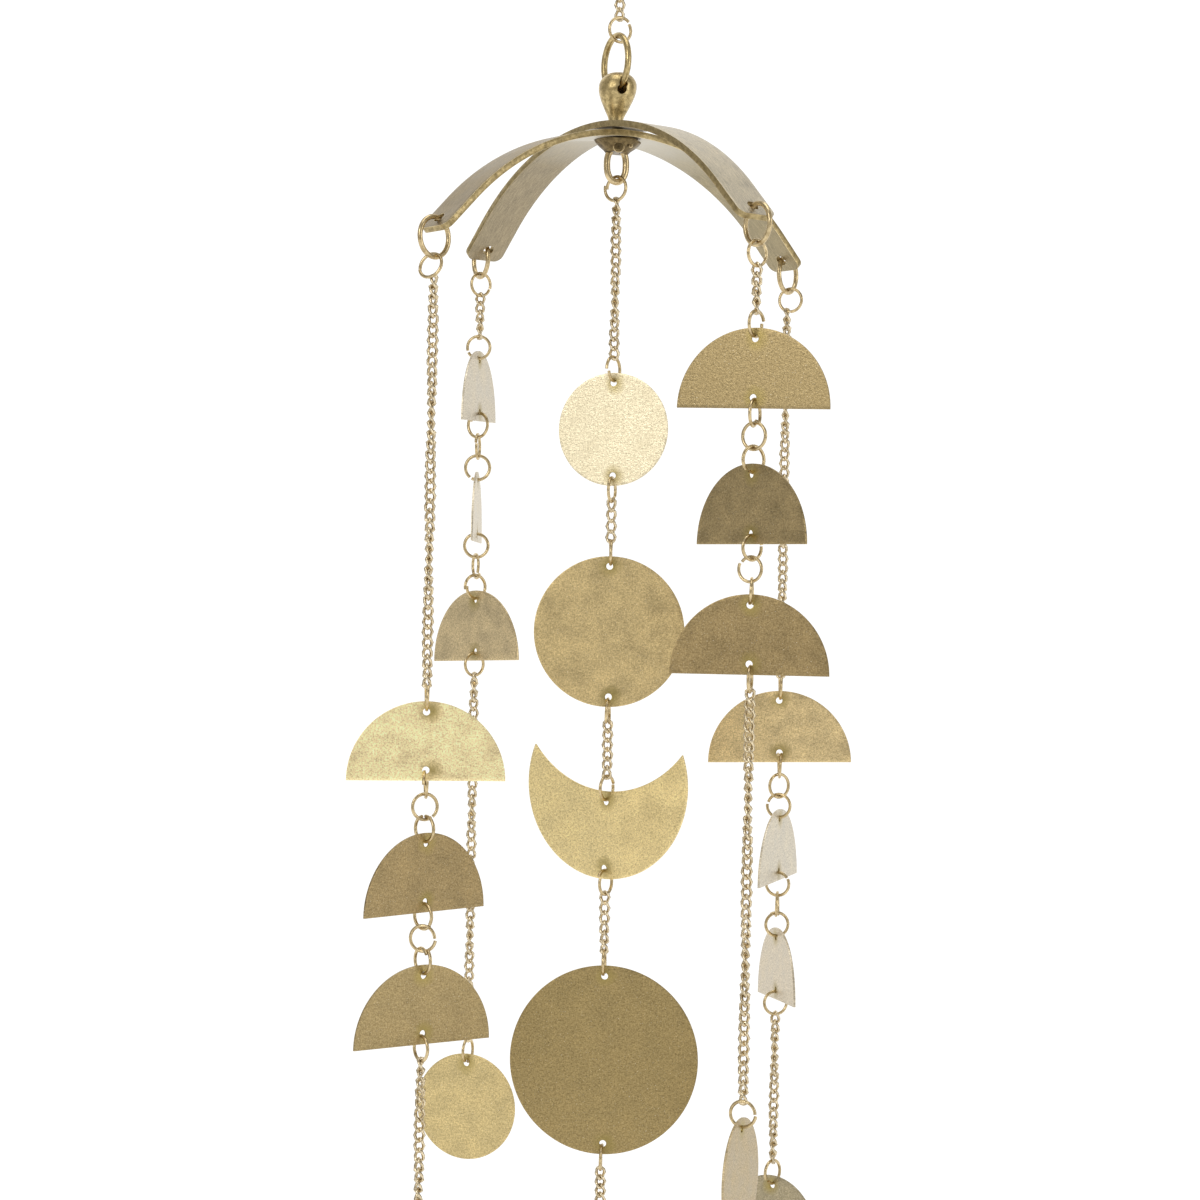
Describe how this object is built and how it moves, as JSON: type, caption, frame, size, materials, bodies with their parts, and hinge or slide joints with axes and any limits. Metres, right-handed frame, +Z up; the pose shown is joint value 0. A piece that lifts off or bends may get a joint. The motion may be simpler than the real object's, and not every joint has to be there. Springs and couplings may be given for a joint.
{
  "type": "hanging mobile sculpture",
  "caption": "Hanging mobile of thin brass discs, half-moons and a crescent on curb chains, hung from crossed arched bars under a turned finial and ring.",
  "frame": {"origin": "inside top of the hanging ring, where a hook would bear", "axes": "+Z up, +X to the right and +Y away from someone facing the crescent and the front strands"},
  "size_m": [0.1704, 0.1706, 0.4848],
  "materials": {
    "plate": "antique satin, finely grained",
    "wire": "satin wire",
    "bar": "brushed antique",
    "cast": "darker antique satin"
  },
  "bodies": {
    "root": {"back_left_end_disc": "plate", "back_left_half_moon_1": "plate", "back_left_half_moon_2": "plate", "back_left_half_moon_3": "plate", "back_left_hanger": "wire", "back_left_lower_chain": "wire", "back_left_ring_set_1": "wire", "back_left_ring_set_2": "wire", "back_left_upper_chain": "wire", "back_right_end_disc": "plate", "back_right_half_moon_1": "plate", "back_right_half_moon_2": "plate", "back_right_half_moon_3": "plate", "back_right_hanger": "wire", "back_right_lower_chain": "wire", "back_right_ring_set_1": "wire", "back_right_ring_set_2": "wire", "back_right_upper_chain": "wire", "bottom_cap": "cast", "cap_link": "wire", "centre_chain_1": "wire", "centre_chain_2": "wire", "centre_chain_3": "wire", "centre_chain_4": "wire", "centre_chain_5": "wire", "centre_crescent": "plate", "centre_large_disc": "plate", "centre_low_disc": "plate", "centre_medium_disc": "plate", "centre_small_disc": "plate", "finial": "cast", "front_left_end_disc": "plate", "front_left_half_moon_1": "plate", "front_left_half_moon_2": "plate", "front_left_half_moon_3": "plate", "front_left_hanger": "wire", "front_left_lower_chain": "wire", "front_left_ring_set_1": "wire", "front_left_ring_set_2": "wire", "front_left_upper_chain": "wire", "front_right_end_disc": "plate", "front_right_half_moon_1": "plate", "front_right_half_moon_2": "plate", "front_right_half_moon_3": "plate", "front_right_hanger": "wire", "front_right_lower_chain": "wire", "front_right_ring_set_1": "wire", "front_right_ring_set_2": "wire", "front_right_upper_chain": "wire", "hanging_ring": "wire", "heavy_ring": "cast", "lower_bar": "bar", "suspension_chain": "wire", "upper_bar": "bar"}
  },
  "joints": []
}
